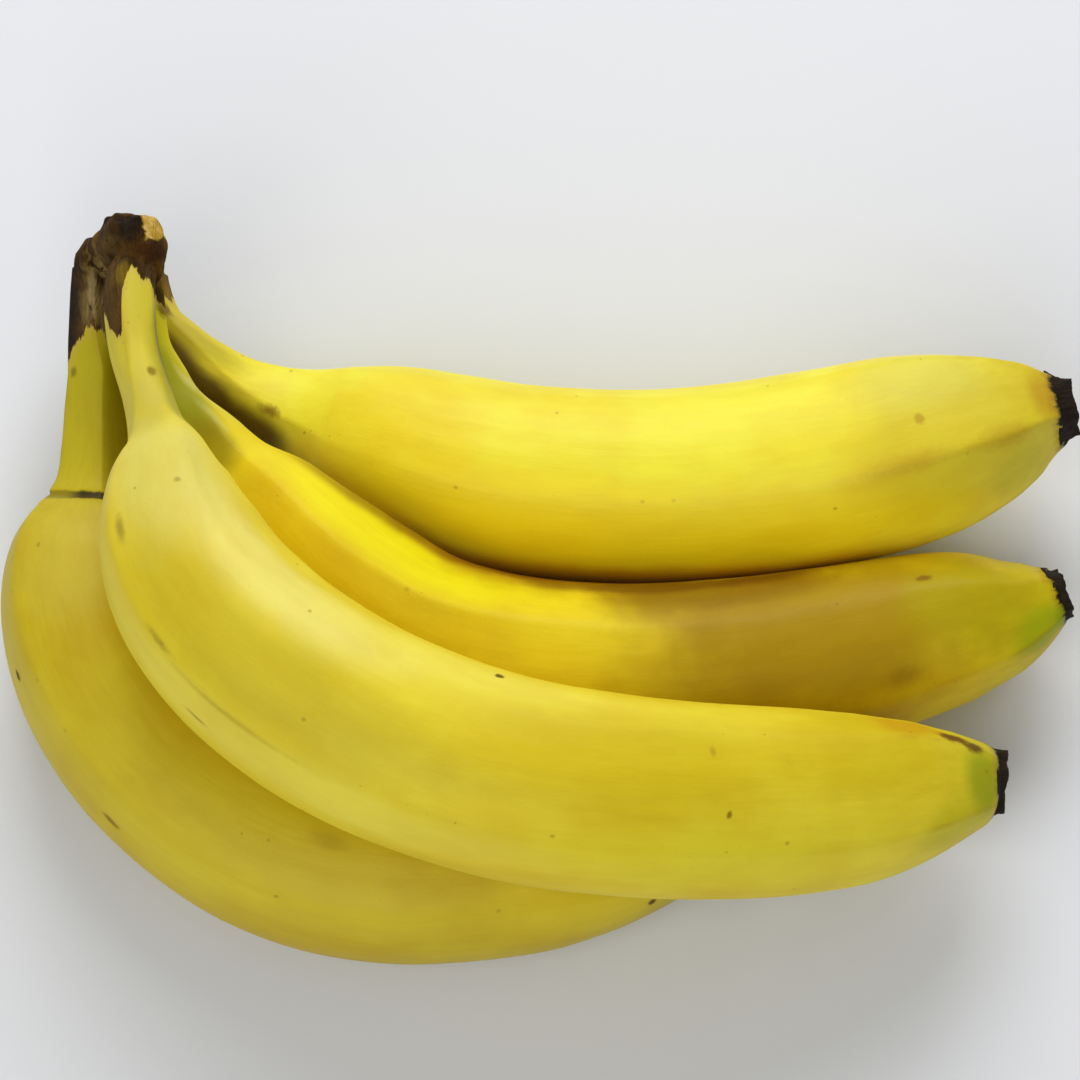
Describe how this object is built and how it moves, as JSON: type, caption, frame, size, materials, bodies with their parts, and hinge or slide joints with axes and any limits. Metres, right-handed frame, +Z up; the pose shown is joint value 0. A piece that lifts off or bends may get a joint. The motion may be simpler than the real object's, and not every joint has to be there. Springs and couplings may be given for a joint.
{
  "type": "bunch of bananas",
  "caption": "Bunch of ripe bananas lying on its side: all curve the same way from one dried brown crown and taper from a ridged neck to a small black blossom end.",
  "frame": {"origin": "middle of the bunch's bounding box, on the surface it lies on", "axes": "+X from the crown's side towards the blossom ends, +Y towards the crown, +Z up from the surface"},
  "size_m": [0.2055, 0.1417, 0.0748],
  "materials": {
    "banana_skin": "waxy yellow skin with a soft sheen, greener at the neck and tip, with small brown specks",
    "crown_bark": "dry dark brown bark with lighter streaks and a tan cut patch",
    "dried_blossom": "dry, crumbly and nearly black"
  },
  "bodies": {
    "root": {"crown": "crown_bark", "banana_a": "banana_skin", "banana_b": "banana_skin", "banana_c": "banana_skin", "banana_d": "banana_skin", "blossom_end_a": "dried_blossom", "blossom_end_b": "dried_blossom", "blossom_end_c": "dried_blossom", "blossom_end_d": "dried_blossom"}
  },
  "joints": []
}
